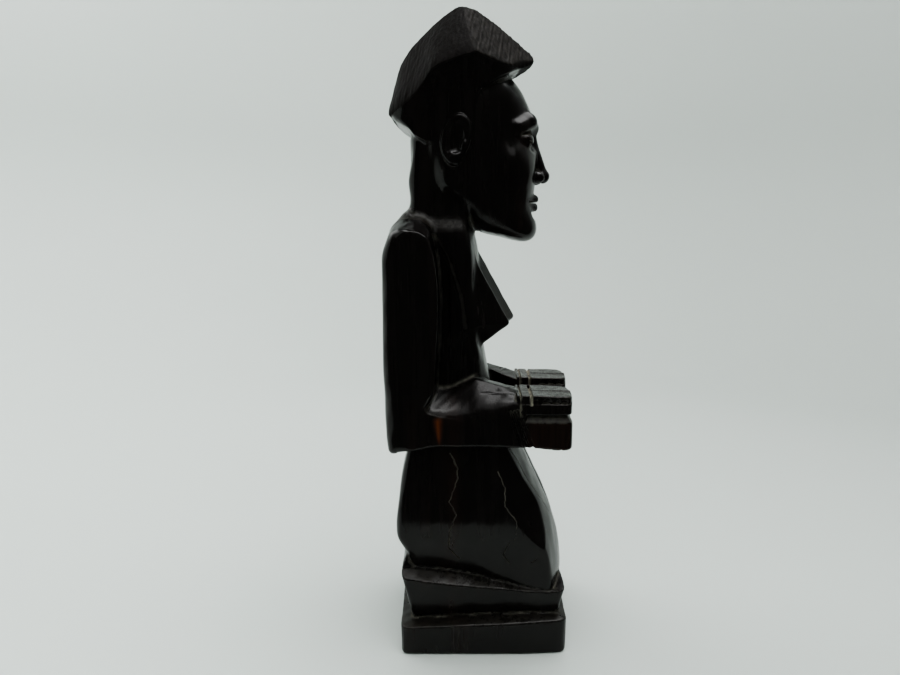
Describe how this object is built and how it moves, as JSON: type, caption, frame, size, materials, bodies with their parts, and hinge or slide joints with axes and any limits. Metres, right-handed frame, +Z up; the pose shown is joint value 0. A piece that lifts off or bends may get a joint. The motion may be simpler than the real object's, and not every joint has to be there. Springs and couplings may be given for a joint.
{
  "type": "carved ancestor figure",
  "caption": "Kneeling ancestor figure carved in dark ebony, forearms held out level with closed hands, tall peaked cap of hair, on a low rounded plinth.",
  "frame": {"origin": "centre of the plinth's flat underside, on the surface the figure stands on", "axes": "+Z up along the grain of the billet, the figure faces -Y, its right side is at -X"},
  "size_m": [0.0788, 0.093, 0.323],
  "materials": {
    "polished_ebony": "hand polished, near black with faint brown vertical grain, dust in the creases",
    "matte_ebony": "unpolished, rasped along the grain"
  },
  "bodies": {
    "root": {"plinth": "polished_ebony", "lower_legs": "polished_ebony", "thighs": "polished_ebony", "torso": "polished_ebony", "neck": "polished_ebony", "head": "polished_ebony", "hair": "matte_ebony", "right_upper_arm": "polished_ebony", "right_forearm": "polished_ebony", "right_hand": "polished_ebony", "left_upper_arm": "polished_ebony", "left_forearm": "polished_ebony", "left_hand": "polished_ebony"}
  },
  "joints": []
}
